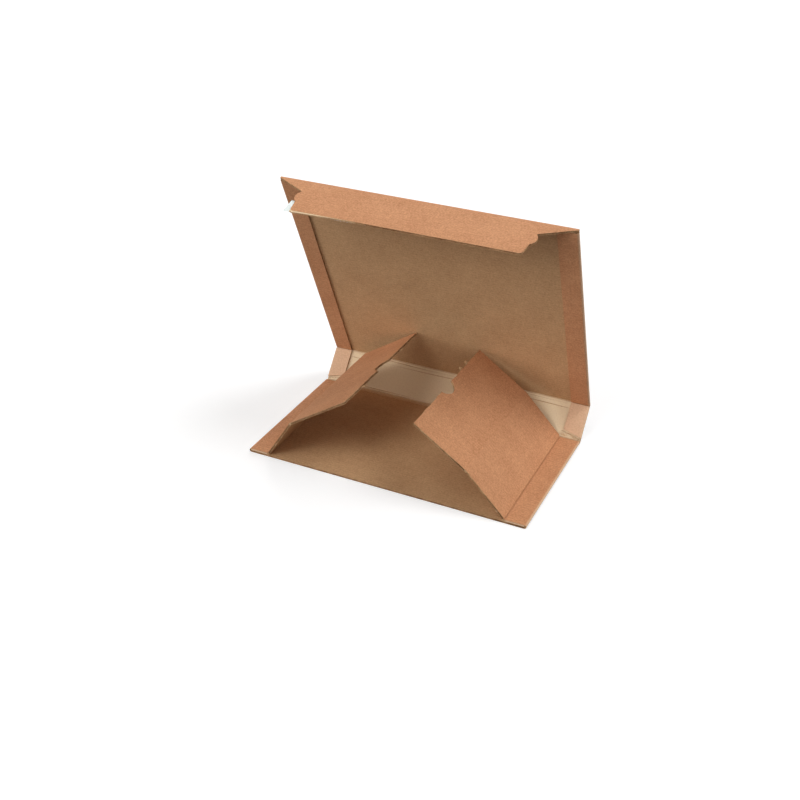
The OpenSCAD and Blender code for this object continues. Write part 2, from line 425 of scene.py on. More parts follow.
KRAFT_BROWN = liner_paper(
    "kraft_brown", colour(218, 161, 119), colour(180, 123, 85), colour(242, 208, 174), 0.03)
INNER_TAN = liner_paper(
    "inner_tan", colour(213, 172, 129), colour(181, 140, 101), colour(242, 218, 182), 0.05)
CUT_PAPER = raw_paper("cut_paper", colour(222, 184, 142), colour(172, 128, 88))
FLUTED_PAPER = raw_paper("fluted_paper", colour(200, 158, 116), colour(144, 104, 70))
RELEASE_PAPER = smooth_strip("release_paper", colour(250, 255, 253), colour(232, 241, 238), 0.4, 12.0, 3.0)
TEAR_FILM = smooth_strip("tear_film", colour(226, 92, 58), colour(196, 66, 40), 0.3, 8.0, 12.0)
HOT_MELT = hot_melt_glue()
FINISHES = [KRAFT_BROWN, INNER_TAN, CUT_PAPER, FLUTED_PAPER, RELEASE_PAPER, TEAR_FILM]
BROWN, TAN, CUT, FLUTED, RELEASE, FILM = range(6)
OTHER_LINER = {BROWN: TAN, TAN: BROWN}


class Sheetwork:
    """Collects closed shells of paper in a panel's own millimetres and makes one piece of them."""

    def __init__(self, name, place, slot):
        self.name = name
        self.place = place
        self.slot = slot
        self.points = []
        self.faces = []
        self.finishes = []
        self.smooth = []
        self.maps = []
        self.worn = []

    def add(self, points, faces, finishes, maps, worn=None, smooth=False):
        """maps holds one (u, v) for each point; a shell that needs none gets its X and Y."""
        first = len(self.points)
        self.points += points
        self.maps += maps
        self.worn += worn or [0.0] * len(points)
        for face, finish in zip(faces, finishes):
            self.faces.append([first + i for i in face])
            self.finishes.append(finish)
            self.smooth.append(smooth)

    def piece(self):
        mesh = bpy.data.meshes.new(self.name)
        mesh.from_pydata([self.place(p) for p in self.points], [], self.faces)
        used = sorted(set(self.finishes))
        for finish in used:
            mesh.materials.append(FINISHES[finish])
        mesh.polygons.foreach_set("material_index", [used.index(finish) for finish in self.finishes])
        mesh.polygons.foreach_set("use_smooth", self.smooth)
        sheet = mesh.uv_layers.new(name="sheet")
        for loop in mesh.loops:
            sheet.data[loop.index].uv = self.maps[loop.vertex_index]
        worn = mesh.attributes.new("worn", "FLOAT", "POINT")
        worn.data.foreach_set("value", self.worn)
        mesh.validate()
        made = bpy.data.objects.new(self.name, mesh)
        bpy.context.scene.collection.objects.link(made)
        return made


def sheet_map(x, y, shift):
    """A map unit is 100 mm; the shift gives each sheet its own stretch of paper."""
    return (x / 100 + shift, y / 100)


def flat_faces(outline, inner):
    """The outline as triangles that also meet at the inner points, with its boundary edges in order."""
    corners = [Vector(p) for p in [*outline, *inner]]
    made = delaunay_2d_cdt(corners, [], [list(range(len(outline)))], 1, SAME_PLACE)
    points = [(p.x, p.y) for p in made[0]]
    faces = []
    for face in made[2]:
        a, b, c = (made[0][i] for i in face)
        faces.append(list(face) if (b - a).cross(c - a) > 0 else list(reversed(face)))
    ways = {(face[i - 1], face[i]) for face in faces for i in range(3)}
    return points, faces, sorted(way for way in ways if way[::-1] not in ways)


def slab(work, outline, low, high, finish_low, finish_high, inner=(), shape=None, edge=None, wear=None):
    """A closed sheet of paper between two heights, with the outline's edges as cut walls.

    The last argument gives each place a level: 1 is pale, 0 is new paper, and below 0 is painted shade, dark
    as a crease in shadow.
    """
    shape = shape or (lambda x, y, z: (x, y, z))
    wear = wear or (lambda x, y, z: 0.0)
    edge = CUT if edge is None else edge
    shift = next_shift()
    flat, faces, ways = flat_faces(outline, inner)
    count = len(flat)
    points = [shape(x, y, height) for height in (high, low) for x, y in flat]
    under = [[i + count for i in reversed(face)] for face in faces]
    walls = [[b, a, a + count, b + count] for a, b in ways]
    finishes = [finish_high] * len(faces) + [finish_low] * len(faces) + [edge] * len(walls)
    maps = [sheet_map(x, y, shift) for x, y in flat]
    worn = [wear(x, y, height) for height in (high, low) for x, y in flat]
    work.add(points, faces + under + walls, finishes, maps + maps, worn)


def rips(low, high, depth, chance):
    """Where a roughly cut edge steps in or out between two ends, and by how much."""
    steps = []
    place = low
    while place < high:
        steps.append((place, depth * chance.random()))
        place += chance.uniform(RIP_SHORT, RIP_LONG)
    return steps


def rip_at(steps, place):
    """By how much the cut has stepped in at a place."""
    return max((step for step in steps if step[0] <= place), default=(0, 0))[1]


def serrated(start, end, chance, steps=()):
    """Points from start up to end along a wavy cut, which stays inside the line.

    The steps are places on the panel's Y, as rips gives them.
    """
    run = Vector(end) - Vector(start)
    length = run.length
    along = run / length
    outward = Vector((along.y, -along.x))
    teeth = max(2, round(length / TOOTH))
    points = [tuple(start)]
    for i in range(1, teeth):
        place = (i + chance.uniform(-TOOTH_SHIFT, TOOTH_SHIFT)) * length / teeth
        depth = rip_at(steps, start[1] + along.y * place)
        depth += TOOTH_DEPTH * (1.0 if i % 2 else LOW_TOOTH) * chance.uniform(0.6, 1.0)
        point = Vector(start) + along * place - outward * depth
        points.append((point.x, point.y))
    return points


def tuft(work, root, outward, reach, chance):
    """A torn bridge: a ragged bit of the inner half of the board that stands out of a cut edge."""
    along = Vector((-outward.y, outward.x))
    outline = [root - outward * TUFT_ROOT - along * NICK_WIDTH / 2]
    for share in TUFT_JAGS:
        jag = reach if share == TUFT_TIP else reach * chance.uniform(0.3, 0.9)
        outline.append(root + outward * jag + along * NICK_WIDTH * share)
    outline.append(root - outward * TUFT_ROOT + along * NICK_WIDTH / 2)
    slab(work, [tuple(p) for p in outline], TUFT_LIFT - HALF_BOARD, -TUFT_TOP, CUT, CUT)


def arc(centre, radius, start, end, steps):
    """Points on a round cut, angles in degrees, with both ends."""
    angles = [math.radians(start + (end - start) * i / steps) for i in range(steps + 1)]
    return [(centre[0] + radius * math.cos(a), centre[1] + radius * math.sin(a)) for a in angles]


def fluting_tree():
    """Turns a guide line, whose points know how far the sheet reaches each way, into a fluted sheet."""
    tree = bpy.data.node_groups.new("fluting", "GeometryNodeTree")
    tree.is_modifier = True
    face = tree.interface
    face.new_socket("Guide line", in_out="INPUT", socket_type="NodeSocketGeometry")
    for name in ("Pitch", "Height", "Paper"):
        face.new_socket(name, in_out="INPUT", socket_type="NodeSocketFloat")
    face.new_socket("Finish", in_out="INPUT", socket_type="NodeSocketMaterial")
    face.new_socket("Fluting", in_out="OUTPUT", socket_type="NodeSocketGeometry")
    node = Node(tree)
    given = node("NodeGroupInput").outputs
    place = node("ShaderNodeSeparateXYZ", {0: node("GeometryNodeInputPosition").outputs[0]}).outputs
    phase = node.maths("DIVIDE", node.maths("MULTIPLY", place[1], 2 * math.pi), given["Pitch"])
    wave = node.maths("MULTIPLY", node.maths("COSINE", phase), node.maths("DIVIDE", given["Height"], 2.0))
    rise = node.maths("SUBTRACT", wave, node.maths("DIVIDE", given["Paper"], 2.0))
    waved = node("GeometryNodeSetPosition", {
        "Geometry": given["Guide line"],
        "Offset": node("ShaderNodeCombineXYZ", {2: rise}).outputs[0],
    })
    ribbon = node("GeometryNodeExtrudeMesh", {"Mesh": waved.outputs[0], "Offset Scale": 0.0}, mode="EDGES")
    near = node("GeometryNodeInputNamedAttribute", {"Name": "near"}, data_type="FLOAT").outputs[0]
    far = node("GeometryNodeInputNamedAttribute", {"Name": "far"}, data_type="FLOAT").outputs[0]
    spread = node.maths("MULTIPLY", node.maths("SUBTRACT", far, near), ribbon.outputs["Top"])
    place = node("ShaderNodeSeparateXYZ", {0: node("GeometryNodeInputPosition").outputs[0]}).outputs
    spot = node("ShaderNodeCombineXYZ", {0: node.maths("ADD", near, spread), 1: place[1], 2: place[2]})
    wide = node("GeometryNodeSetPosition", {"Geometry": ribbon.outputs["Mesh"], "Position": spot.outputs[0]})
    thick = node("GeometryNodeExtrudeMesh", {
        "Mesh": wide.outputs[0], "Offset Scale": given["Paper"], "Individual": False,
    }, mode="FACES")
    back = node("GeometryNodeFlipFaces", {0: wide.outputs[0]})
    both = node("GeometryNodeJoinGeometry")
    tree.links.new(thick.outputs["Mesh"], both.inputs[0])
    tree.links.new(back.outputs[0], both.inputs[0])
    closed = node("GeometryNodeMergeByDistance", {"Geometry": both.outputs[0], "Distance": 0.001})
    real = node("GeometryNodeRealizeInstances", {0: closed.outputs[0]})
    finished = node("GeometryNodeSetMaterial", {"Geometry": real.outputs[0], "Material": given["Finish"]})
    result = node("NodeGroupOutput")
    tree.links.new(finished.outputs[0], result.inputs[0])
    return tree


FLUTING = fluting_tree()


def fluted(work, low, high, reach, middle, chance):
    """Adds a fluted sheet from low to high across the flutes; reach(y) says how far it goes each way."""
    rows = max(2, round((high - low) / FLUTE_PITCH * FLUTE_STEPS)) + 1
    places = [low + (high - low) * i / (rows - 1) for i in range(rows)]
    guide = bpy.data.meshes.new("guide_line")
    guide.from_pydata([(0, y, 0) for y in places], [(i, i + 1) for i in range(rows - 1)], [])
    near = guide.attributes.new("near", "FLOAT", "POINT")
    far = guide.attributes.new("far", "FLOAT", "POINT")
    for i, y in enumerate(places):
        start, end = reach(y)
        near.data[i].value = start + CORE_SHORT * chance.uniform(1 - CORE_UNEVEN, 1 + CORE_UNEVEN)
        far.data[i].value = end - CORE_SHORT * chance.uniform(1 - CORE_UNEVEN, 1 + CORE_UNEVEN)
    line = bpy.data.objects.new("guide_line", guide)
    bpy.context.scene.collection.objects.link(line)
    modifier = line.modifiers.new("fluting", "NODES")
    modifier.node_group = FLUTING
    sizes = {
        "Pitch": FLUTE_PITCH,
        "Height": 2 * (HALF_BOARD - LINER + FLUTE_BITE) - FLUTE_PAPER,
        "Paper": FLUTE_PAPER,
        "Finish": FLUTED_PAPER,
    }
    for socket in FLUTING.interface.items_tree:
        if socket.in_out == "INPUT" and socket.name in sizes:
            modifier[socket.identifier] = sizes[socket.name]
    ready = bpy.context.evaluated_depsgraph_get()
    made = bpy.data.meshes.new_from_object(line.evaluated_get(ready), depsgraph=ready)
    line.modifiers.remove(modifier)
    shell = bmesh.new()
    shell.from_mesh(made)
    bmesh.ops.recalc_face_normals(shell, faces=shell.faces[:])
    points = [(v.co.x, v.co.y, v.co.z + middle) for v in shell.verts]
    faces = [[v.index for v in f.verts] for f in shell.faces]
    shell.free()
    work.add(points, faces, [FLUTED] * len(faces), [sheet_map(p[0], p[1], 0) for p in points], smooth=True)
    bpy.data.objects.remove(line)
    bpy.data.meshes.remove(made)
    bpy.data.meshes.remove(guide)


def liners(work, panel, brown_outline, tan_outline, **detail):
    """The two liners of a board, each with its own cut outline."""
    side = panel.brown_side
    for outline, finish, level in ((brown_outline, BROWN, side), (tan_outline, TAN, -side)):
        outer = level * HALF_BOARD
        deeper = outer - level * LINER
        low, high = sorted((outer, deeper))
        faces = (finish, FLUTED) if outer < deeper else (FLUTED, finish)
        slab(work, outline, low, high, *faces, **detail)


shifts = random.Random(SEED)


def next_shift():
    """The stretch of paper that the next sheet is cut from."""
    return shifts.uniform(0, 40)


def side_wrap(work, side, strip_edge, low, high, slant, rubbed_and_painted_light):
    """The outer liner carried round a folded side and back over its strip, with crushed board in the fold."""
    shift = next_shift()
    flat = FOLD_X - strip_edge
    rows = []
    for i in range(WRAP_STEPS + 1):
        angle = math.radians(180 * i / WRAP_STEPS)
        worn = max(math.sin(angle) ** WRAP_WEAR_POWER, rubbed_and_painted_light)
        rows.append((FOLD_X, angle, low, worn, 2 * HALF_BOARD * angle))
    rows.append((strip_edge, math.pi, low + slant, rubbed_and_painted_light, 2 * HALF_BOARD * math.pi + flat))
    points = []
    maps = []
    wear = []
    for x, angle, start, worn, run in rows:
        for radius in (2 * HALF_BOARD, 2 * HALF_BOARD - LINER):
            for y in (start, high):
                points.append((
                    side * (x + radius * math.sin(angle)), y, HALF_BOARD - radius * math.cos(angle)))
                maps.append(sheet_map(side * (FOLD_X + run), y, shift))
                wear.append(worn)
    faces = []
    finishes = []
    for i in range(len(rows) - 1):
        a = 4 * i
        b = a + 4
        quads = [
            ([a, b, b + 1, a + 1], BROWN),
            ([a + 3, b + 3, b + 2, a + 2], FLUTED),
            ([a, a + 2, b + 2, b], CUT),
            ([a + 1, b + 1, b + 3, a + 3], CUT),
        ]
        for quad, finish in quads:
            faces.append(quad)
            finishes.append(finish)
    last = 4 * (len(rows) - 1)
    faces += [[0, 1, 3, 2], [last, last + 2, last + 3, last + 1]]
    finishes += [CUT, CUT]
    if side < 0:
        faces = [f[::-1] for f in faces]
    work.add(points, faces, finishes, maps, wear)
    crushed_core(work, side, low, high)
    outline = [
        (side * strip_edge, low + slant), (side * FOLD_X, low),
        (side * FOLD_X, high), (side * strip_edge, high)]
    if side < 0:
        outline = outline[::-1]
    slab(work, outline, HALF_BOARD, HALF_BOARD + LINER, TAN, FLUTED)


def crushed_core(work, side, low, high):
    """The half-round of crushed board inside a folded side."""
    middle = (FOLD_X - 2 * CORE_GAP, HALF_BOARD)
    ring = [middle] + arc(middle, 2 * HALF_BOARD - LINER - CORE_GAP, -90, 90, WRAP_STEPS)
    count = len(ring)
    points = [(side * x, y, z) for y in (low + CORE_SHORT, high - CORE_SHORT) for x, z in ring]
    faces = [list(range(count)), [count + i for i in reversed(range(count))]]
    for i in range(count):
        j = (i + 1) % count
        faces.append([j, i, i + count, j + count])
    if side < 0:
        faces = [f[::-1] for f in faces]
    work.add(points, faces, [FLUTED] * len(faces), [sheet_map(p[0], p[1], 0) for p in points])


def pressed_end(work, side, strip_edge, end):
    """The front end of a glued strip, where the cutting rule has pressed its fluting shut."""
    across = sorted((side * strip_edge, side * FOLD_X))
    levels = (HALF_BOARD + LINER, 3 * HALF_BOARD - LINER)
    points = [(x, y, z) for z in levels for y in (end, end + CORE_SHORT) for x in across]
    faces = [[0, 2, 3, 1], [4, 5, 7, 6], [0, 1, 5, 4], [2, 6, 7, 3], [0, 4, 6, 2], [1, 3, 7, 5]]
    maps = [sheet_map(p[0], p[1], 0) for p in points]
    work.add(points, faces, [BROWN] * len(faces), maps, [PRESSED_WEAR] * len(points))


def board_with_sides(
        name, panel, slot, low, high, strip_edge, strip_low, strip_high,
        slant=0.0, rubbed_and_painted_light=0.0, pressed=False, **detail):
    """A panel with both sides folded in and glued. The strips' lower ends may slant or be pressed shut."""
    work = Sheetwork(name, panel.place, slot)
    chance = random.Random(name)
    half = [(FOLD_X, strip_low), (FOLD_X, strip_high), (SHEET_HALF, strip_high), (SHEET_HALF, high)]
    if strip_low > low:
        half = [(SHEET_HALF, low), (SHEET_HALF, strip_low)] + half
    outline = half + [(-x, y) for x, y in reversed(half)]
    liners(work, panel, outline, outline, **detail)
    fluted(work, low, high, lambda y: (-FOLD_X, FOLD_X), 0.0, chance)

    def strip_start(y):
        """How far in a strip reaches beside its slanted end."""
        share = min(1.0, (y - strip_low) / slant) if slant else 1.0
        return FOLD_X - share * (FOLD_X - strip_edge)

    for side in (-1, 1):
        side_wrap(work, side, strip_edge, strip_low, strip_high, slant, rubbed_and_painted_light)
        if pressed:
            pressed_end(work, side, strip_edge, strip_low)
        fluted(work, strip_low + CORE_SHORT, strip_high - CORE_SHORT,
               lambda y: sorted((side * strip_start(y), side * FOLD_X)), 2 * HALF_BOARD, chance)
    made = work.piece()
    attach(made, panel.body)
    return made


def groove(x, y):
    """How deep in a scored line or a wrinkle a place of the spine is, from 0 to 1. The lines wander."""
    between_strips = min(1.0, max(0.0, (FOLD_X - LID_STRIP - abs(x)) / SCORE_FADE))
    dip = 0.0
    if between_strips < 1:
        dip = max(dip, WRINKLE_SHARE * (1 - abs(y - wrinkle(x)) / SCORE_HALF_WIDTH))
    for i, score in enumerate(SCORES):
        line = score + 0.5 * math.sin(x / 37 + 2.1 * i) + 0.25 * math.sin(x / 13 + i)
        pressed = 0.6 + 0.4 * math.sin(x / 19 + 2.5 * i)
        reach = between_strips if i else 1.0
        dip = max(dip, reach * pressed * (1 - abs(y - line) / SCORE_HALF_WIDTH))
    return dip


def wrinkle(x):
    """Where the corner's wrinkle lies, just below the slanted end of the strip."""
    return SPINE_STRIP_START + SPINE_STRIP_SLANT * (FOLD_X - abs(x)) / LID_STRIP - WRINKLE_BELOW


def spine_scores(x, y, z):
    """The spine's inner liner, pressed in along the scored lines."""
    return (x, y, z - SCORE_DEPTH * groove(x, y) if z > 0 else z)


def spine_wear(x, y, z):
    """The spine has been bent most: its paper is pale all over, partly from scuffing and partly as a painted
    highlight for the strong light on it, and its scored lines get painted shade.
    """
    return 1.1 - 1.4 * groove(x, y) if z > 0 else 0.3


def base_wear(x, y, z):
    """The base's inner liner is scuffed pale beside the rear fold."""
    return REAR_RUB_WEAR * max(0.0, 1 - (BASE_HALF - y) / REAR_RUB) if z > 0 else 0.0


def closing_outline(chance):
    """One side of the closing flap's cut: a slant, the waist, a rounded tongue and the ear."""
    waist = (PACK_HALF - WAIST_INSET, WAIST_REACH)
    tongue = (PACK_HALF - TONGUE_INSET - TONGUE_RADIUS, TONGUE_REACH)
    ear = (PACK_HALF - EAR_INSET, TONGUE_STEP)
    corner = (PACK_HALF - EAR_INSET - EAR_TAPER, CLOSING_LENGTH - EAR_RADIUS)
    start = math.degrees(math.asin((WAIST_REACH - TONGUE_REACH) / TONGUE_RADIUS))
    end = math.degrees(math.asin((TONGUE_STEP - TONGUE_REACH) / TONGUE_RADIUS))
    side = serrated((SHEET_HALF, FOLD_REACH), waist, chance)
    side += arc(tongue, TONGUE_RADIUS, start, end, 7)
    side += serrated(ear, corner, chance)
    side += arc((corner[0] - EAR_RADIUS, corner[1]), EAR_RADIUS, 0, 90, 6)
    return side


def closing_reach(y):
    """Half the closing flap's width at a distance from its fold."""
    if y < WAIST_REACH:
        share = (y - FOLD_REACH) / (WAIST_REACH - FOLD_REACH)
        half = SHEET_HALF + share * (PACK_HALF - WAIST_INSET - SHEET_HALF)
    elif y < TONGUE_STEP:
        rise = TONGUE_RADIUS ** 2 - (y - TONGUE_REACH) ** 2
        half = PACK_HALF - TONGUE_INSET - TONGUE_RADIUS + math.sqrt(rise)
    else:
        share = (y - TONGUE_STEP) / (CLOSING_LENGTH - EAR_RADIUS - TONGUE_STEP)
        half = PACK_HALF - EAR_INSET - EAR_TAPER * min(1.0, share)
        over = y - (CLOSING_LENGTH - EAR_RADIUS)
        if over > 0:
            half -= EAR_RADIUS - math.sqrt(max(0.0, EAR_RADIUS ** 2 - over ** 2))
    return (-half, half)


def frayed_edge():
    """A torn lip along the left half of the flap's free edge, widest beside the left ear. Its full paleness
    is partly a painted highlight, for the light on the cut edge there.
    """
    start = FRAY_INSET - PACK_HALF + EAR_INSET
    end = start + FRAY_LENGTH
    return [
        (start, CLOSING_LENGTH - FRAY_ROOT), (end, CLOSING_LENGTH - FRAY_ROOT),
        (end, CLOSING_LENGTH - FRAY_ROOT / 4), ((start + end) / 2, CLOSING_LENGTH + FRAY_REACH / 4),
        (start + FRAY_TIP, CLOSING_LENGTH + FRAY_REACH), (start, CLOSING_LENGTH + FRAY_REACH / 2)]


def closing_flap():
    """The closing flap's board. Each liner has its own cut, as a blunt rule leaves it."""
    work = Sheetwork("closing_flap_board", CLOSING.place, "kraft_closing_flap")
    outlines = []
    for layer in range(2):
        chance = random.Random(SEED + layer)
        right = closing_outline(chance)
        left = [(-x, y) for x, y in reversed(closing_outline(chance))]
        edge = serrated(right[-1], left[0], chance)[1:]
        outlines.append(right + edge + left)
    liners(work, CLOSING, *outlines)
    # The torn lip is painted fully pale: partly scuffed paper, partly a painted highlight on the cut edge.
    slab(work, frayed_edge(), FRAY_UNDER, FRAY_OVER, TAN, TAN, wear=lambda x, y, z: 1.0)
    fluted(work, FOLD_REACH, CLOSING_LENGTH - TOOTH_DEPTH, closing_reach, 0.0, random.Random(SEED))
    made = work.piece()
    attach(made, CLOSING.body)
    return made


def riser(panel, length, slot, nicks):
    """The standing part of an inner flap; its front and rear edges are wavy cuts."""
    side = 1 if panel.y.y > 0 else -1
    front, rear = sorted((FLAP_FRONT * side, FLAP_REAR * side))
    near, far = FOLD_REACH, length - FOLD_REACH
    work = Sheetwork(f"{panel.body}_board", panel.place, slot)
    outlines = []
    for layer in range(2):
        chance = random.Random(panel.body + str(layer))
        outline = serrated((near, front), (far, front), chance) + [(far, front)]
        outline += serrated((far, rear), (near, rear), chance) + [(near, rear)]
        outlines.append(outline)
    # The risers' cut walls take the darker fluted finish: painted shade for the shade their edges stand in.
    liners(work, panel, *outlines, edge=FLUTED)
    for place in nicks:
        root = Vector((place, FLAP_FRONT * side))
        tuft(work, root, Vector((0, -side)), FLAP_FRONT_GAP, random.Random(panel.body + str(place)))
    chance = random.Random(panel.body)
    fluted(work, front + CORE_SHORT, rear - CORE_SHORT, lambda y: (near, far), 0.0, chance)
    made = work.piece()
    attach(made, panel.body)
    return made


def top_panel(panel, length, slot, notch, nicks, rip):
    """The part of an inner flap past its crease, with its thumb notch in the free edge."""
    side = 1 if panel.y.y > 0 else -1
    front, rear = sorted((FLAP_FRONT * side, FLAP_REAR * side))
    near = FOLD_REACH
    centre = length + NOTCH_RADIUS - NOTCH_DEPTH
    half = math.sqrt(NOTCH_RADIUS ** 2 - (NOTCH_RADIUS - NOTCH_DEPTH) ** 2)
    spread = math.degrees(math.asin(half / NOTCH_RADIUS))
    middle = side * notch
    work = Sheetwork(f"{panel.body}_board", panel.place, slot)
    steps = rips(front, rear, rip, random.Random(panel.body))
    outlines = []
    for layer in range(2):
        chance = random.Random(panel.body + str(layer))
        outline = serrated((near, front), (length, front), chance)
        outline += serrated((length, front), (length, middle - half), chance, steps)
        outline += arc((centre, middle), NOTCH_RADIUS, 180 + spread, 180 - spread, 14)[:-1]
        outline += serrated((length, middle + half), (length, rear), chance, steps)
        outline += serrated((length, rear), (near, rear), chance)
        outline += [(near, rear)]
        outlines.append(outline)
    liners(work, panel, *outlines)
    for place in nicks:
        root = Vector((length, side * place))
        tuft(work, root, Vector((1, 0)), NICK_REACH, random.Random(panel.body + str(place)))

    def reach(y):
        if abs(y - middle) < half:
            return (near, centre - math.sqrt(NOTCH_RADIUS ** 2 - (y - middle) ** 2))
        return (near, length - rip_at(steps, y))
    fluted(work, front + CORE_SHORT, rear - CORE_SHORT, reach, 0.0, random.Random(panel.body))
    made = work.piece()
    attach(made, panel.body)
    return made


def fold(name, slot, hinge, run_in, run_out, hollow, span, axis, convex, rubbed_and_painted_light, pressed):
    """The crushed board at a moving fold.

    The last two numbers say how pale from scuffing its outside is and how pale from pressing its inside is;
    an inside below 0 is painted shade, a dark crease line.
    """
    pivot = HINGES[hinge]
    angle = run_in.angle(run_out)
    hollow_out = (hollow - run_out * hollow.dot(run_out)).normalized()
    bisector = (hollow + hollow_out).normalized()
    tight = HALF_BOARD * math.tan(angle / 2)
    concave = OTHER_LINER[convex]
    arcs = []
    for i in range(FOLD_ARC_STEPS + 1):
        share = i / FOLD_ARC_STEPS
        direction = hollow * math.sin((1 - share) * angle) + hollow_out * math.sin(share * angle)
        direction /= math.sin(angle)
        arcs.append((-direction * (HALF_BOARD - FOLD_SLACK), math.sin(math.pi * share) * rubbed_and_painted_light))
    outer = [(-run_in * FOLD_REACH - hollow * HALF_BOARD, 0.0)] + arcs
    outer += [(run_out * FOLD_REACH - hollow_out * HALF_BOARD, 0.0)]
    lip = tight + VALLEY_LIP
    valley = HALF_BOARD / math.cos(angle / 2) - VALLEY_DEPTH
    inner = [
        (run_out * FOLD_REACH + hollow_out * HALF_BOARD, LIP_WEAR_AND_PAINTED_SHADE * pressed),
        (run_out * lip + hollow_out * HALF_BOARD, pressed),
        (bisector * valley, pressed),
        (-run_in * lip + hollow * HALF_BOARD, pressed),
        (-run_in * FOLD_REACH + hollow * HALF_BOARD, LIP_WEAR_AND_PAINTED_SHADE * pressed),
    ]
    ring = outer + inner
    count = len(ring)
    length = span[1] - span[0]
    steps = max(2, round(length / FOLD_SEGMENT))
    chance = random.Random(name)
    work = Sheetwork(name, lambda p: (pivot + Vector(p)) * MM, slot)
    shift = next_shift()
    points = []
    maps = []
    wear = []
    for i in range(steps + 1):
        along = span[0] + length * i / steps
        run = 0.0
        for j, (spot, worn) in enumerate(ring):
            point = axis * along + spot
            if j == len(outer) + 2:
                point = point + bisector * chance.uniform(-VALLEY_UNEVEN, VALLEY_UNEVEN)
            points.append(tuple(point))
            run += (spot - ring[j - 1][0]).length if j else 0.0
            maps.append(sheet_map(along, run, shift))
            wear.append(worn * chance.uniform(0.5, 1.0))
    faces = []
    finishes = []
    for i in range(steps):
        for j in range(count):
            k = (j + 1) % count
            faces.append([i * count + j, i * count + k, (i + 1) * count + k, (i + 1) * count + j])
            if j < len(outer) - 1:
                finishes.append(convex)
            elif len(outer) <= j < count - 1:
                finishes.append(concave)
            else:
                finishes.append(FLUTED)
    for start, turned_over in ((0, False), (steps * count, True)):
        section = [Vector((v[0].dot(run_in), v[0].dot(hollow), 0)) for v in ring]
        for triangle in tessellate_polygon([section]):
            face = [start + t for t in triangle]
            faces.append(face[::-1] if turned_over else face)
            finishes.append(CUT)
    work.add(points, faces, finishes, maps, wear)
    made = work.piece()
    shell = bmesh.new()
    shell.from_mesh(made.data)
    bmesh.ops.recalc_face_normals(shell, faces=shell.faces[:])
    shell.to_mesh(made.data)
    shell.free()
    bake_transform(made)
    return made


def moving_folds():
    """The seven folds that move, each crushed along its line."""
    across = (-SHEET_HALF, SHEET_HALF)
    fold("spine_fold_bend", "kraft_spine", "spine_fold",
         Y, SPINE_UP, Z, across, X, BROWN, 0.6, 0.8)
    fold("lid_fold_bend", "kraft_lid", "lid_fold",
         SPINE_UP, LID_UP, SPINE.z, across, X, BROWN, 0.6, 0.6)
    fold("closing_fold_bend", "kraft_closing_flap", "closing_flap_fold",
         LID_UP, CLOSING_OUT, LID.z, across, X, BROWN, 0.5, 0.2)
    foot = (-BASE_HALF, BASE_HALF - BASE_STRIP_SETBACK)
    depth = (FLAP_FRONT, FLAP_REAR)
    for side, inward, up, top in (("left", X, LEFT_RISER, LEFT_TOP), ("right", -X, RIGHT_RISER, RIGHT_TOP)):
        # On the flaps' folds a negative inside level paints shade: a dark line where the riser meets the base
        # strip.
        fold(f"{side}_flap_fold_bend", f"kraft_{side}_riser", f"{side}_flap_fold",
             inward, up.x, Z, foot, Y, TAN, 0.2, -0.5)
        fold(f"{side}_crease_bend", f"kraft_{side}_top", f"{side}_flap_crease",
             up.x, top.x, -up.z, depth, Y, BROWN, 0.05, 0.0)


def boards():
    """Every flat run of board, each riding on its own body in place of the plain one."""
    base = board_with_sides(
        "base_board", BASE, "kraft_base", -BASE_HALF, BASE_HALF - FOLD_REACH,
        STRIP_X + FOLD_REACH, -BASE_HALF, BASE_HALF - BASE_STRIP_SETBACK,
        pressed=True, inner=[(x, BASE_HALF - REAR_RUB) for x in REAR_RUB_COLUMNS], wear=base_wear)
    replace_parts(base, "base")
    # The spine is made pale, its strips too: partly scuffing, partly a painted highlight; its scored lines
    # get painted shade.
    spine = board_with_sides(
        "spine_board", SPINE, "kraft_spine", FOLD_REACH, SPINE_LENGTH - FOLD_REACH,
        PACK_HALF - LID_STRIP, SPINE_STRIP_START, SPINE_LENGTH - LID_STRIP_GAP, SPINE_STRIP_SLANT,
        rubbed_and_painted_light=0.75, inner=score_points(), shape=spine_scores, wear=spine_wear)
    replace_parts(spine, "spine")
    lid = board_with_sides(
        "lid_board", LID, "kraft_lid", FOLD_REACH, LID_LENGTH - FOLD_REACH,
        PACK_HALF - LID_STRIP, LID_STRIP_GAP, LID_LENGTH - CLOSING_STRIP_GAP)
    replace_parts(lid, "lid")
    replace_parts(closing_flap(), "closing_flap")
    left = riser(LEFT_RISER, LEFT_RISER_LENGTH, "kraft_left_riser", LEFT_RISER_NICKS)
    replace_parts(left, "left_riser")
    right = riser(RIGHT_RISER, RIGHT_RISER_LENGTH, "kraft_right_riser", RIGHT_RISER_NICKS)
    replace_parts(right, "right_riser")
    left_top = top_panel(
        LEFT_TOP, FLAP_LENGTH - LEFT_RISER_LENGTH, "kraft_left_top", LEFT_NOTCH, LEFT_EDGE_NICKS, LEFT_RIP)
    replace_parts(left_top, "left_top_panel")
    right_top = top_panel(
        RIGHT_TOP, FLAP_LENGTH - RIGHT_RISER_LENGTH, "kraft_right_top",
        RIGHT_NOTCH, RIGHT_EDGE_NICKS, RIGHT_RIP)
    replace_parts(right_top, "right_top_panel")


def score_points():
    """Points close enough together for the scored grooves to follow their wandering paths."""
    columns = [SCORE_COLUMN * i for i in range(-SCORE_COLUMNS, SCORE_COLUMNS + 1)]
    steps = range(-SCORE_ROWS, SCORE_ROWS + 1)
    rows = {round(score + SCORE_ROW * step, 2) for score in SCORES for step in steps}
    highest = SPINE_LENGTH - LID_STRIP_GAP - SCORE_HALF_WIDTH
    points = [(x, y) for y in sorted(rows) if FOLD_REACH < y < highest for x in columns]
    for side in (-1, 1):
        for i in range(WRINKLE_COLUMNS):
            x = side * (FOLD_X - 1 - WRINKLE_COLUMN * i)
            points += [(x, wrinkle(x) + WRINKLE_ROW * step) for step in range(-2, 3)]
    return points


